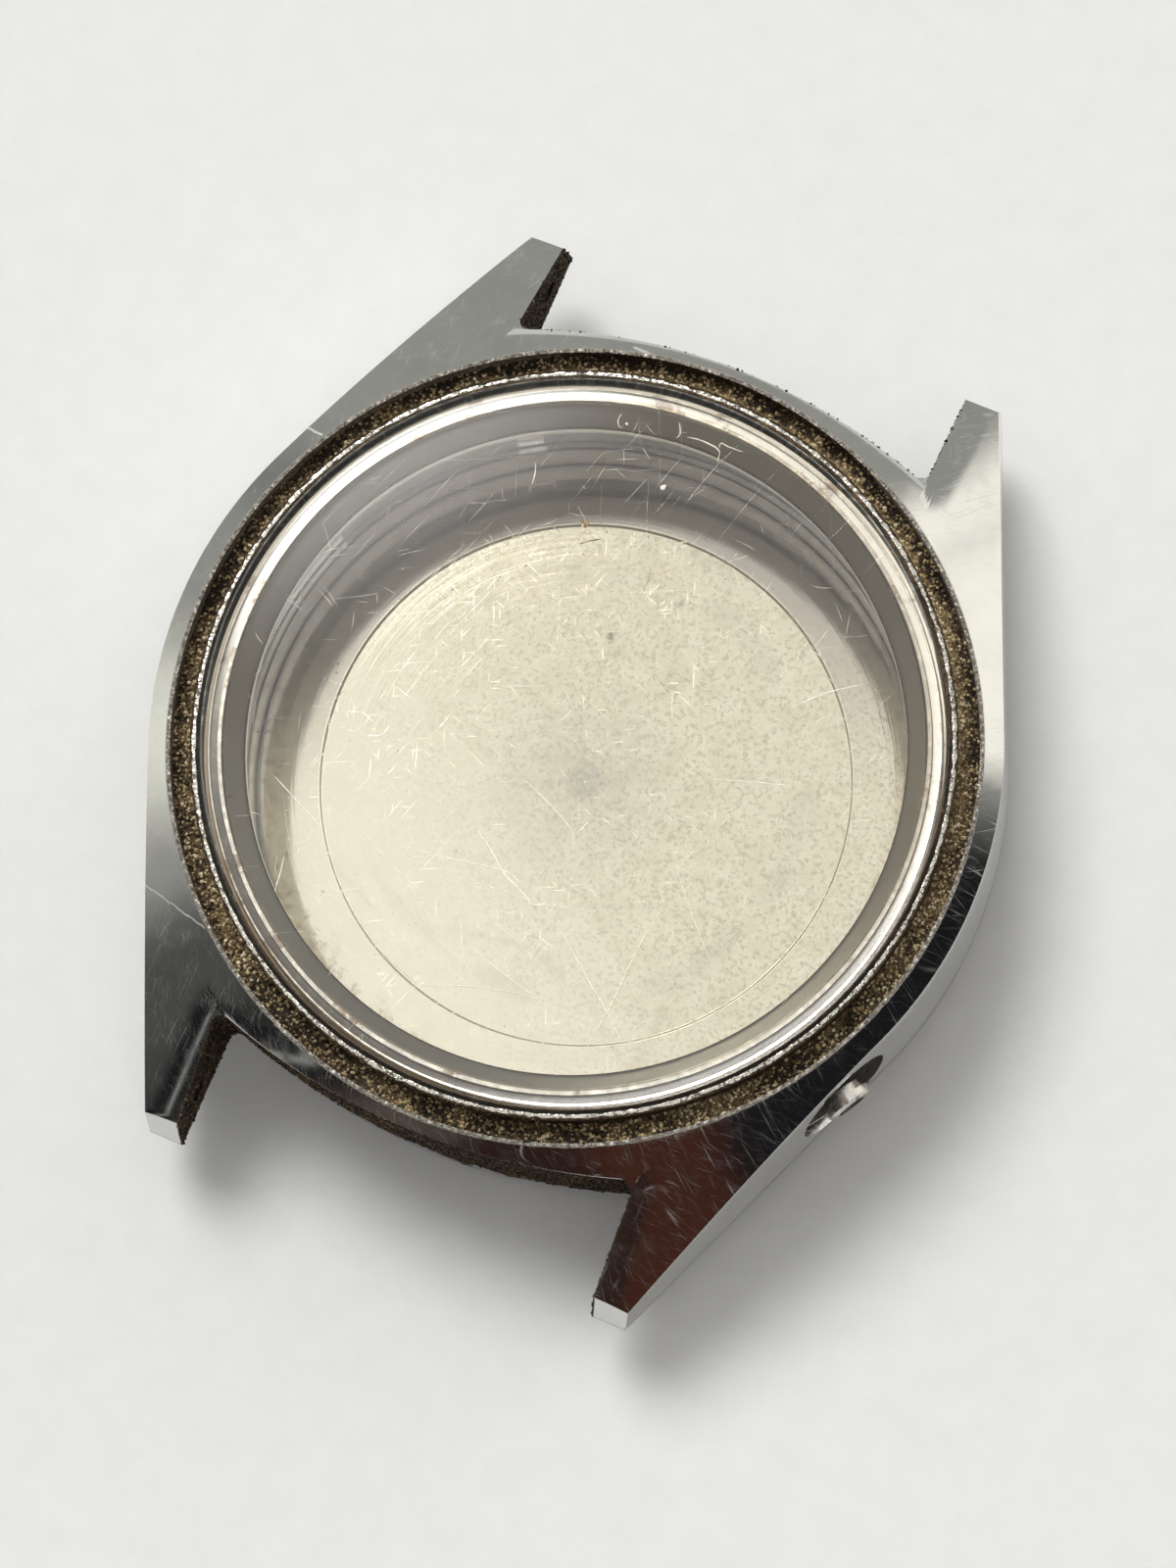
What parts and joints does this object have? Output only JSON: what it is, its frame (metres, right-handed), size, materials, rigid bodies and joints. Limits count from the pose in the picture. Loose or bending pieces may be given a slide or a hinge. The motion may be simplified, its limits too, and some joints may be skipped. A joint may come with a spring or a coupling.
{
  "type": "empty wrist-watch case",
  "caption": "Empty steel wrist-watch case with angular lugs, bare bezel groove, worn acrylic crystal, crown tube at 4 o'clock and screwed back.",
  "frame": {"origin": "centre of the case back's flat outer face", "axes": "+Z towards the crystal, +Y towards 12 o'clock, +X towards 3 o'clock"},
  "size_m": [0.0368, 0.043, 0.0105],
  "materials": {
    "case_steel": "polished stainless steel, scratched and grimy in the groove and between the lugs",
    "back_steel": "turned stainless steel, brushed in circles inside",
    "ring_metal": "bright plated ring with brown tarnish",
    "tube_steel": "turned steel tube with brown dirt",
    "clear_acrylic": "clear, with scratches and stress cracks round the rim",
    "gasket_rubber": "black rubber"
  },
  "bodies": {
    "case": {"mid_case": "case_steel", "crystal": "clear_acrylic", "tension_ring": "ring_metal", "crown_tube": "tube_steel"},
    "gasket": {"back_gasket": "gasket_rubber"},
    "back": {"case_back": "back_steel"}
  },
  "joints": [
    {"name": "back_lift", "type": "slide", "parent": "case", "child": "gasket", "axis": [0, 0, -1], "range_m": [0, 0.00153]},
    {"name": "back_turn", "type": "hinge", "parent": "gasket", "child": "back", "pos_m": [0, 0, 0], "axis": [0, 0, -1], "range_deg": [0, 1100]}
  ],
  "couplings": [
    {"joint": "back_lift", "follows": "back_turn", "m_per_rad": 0.000079577}
  ]
}
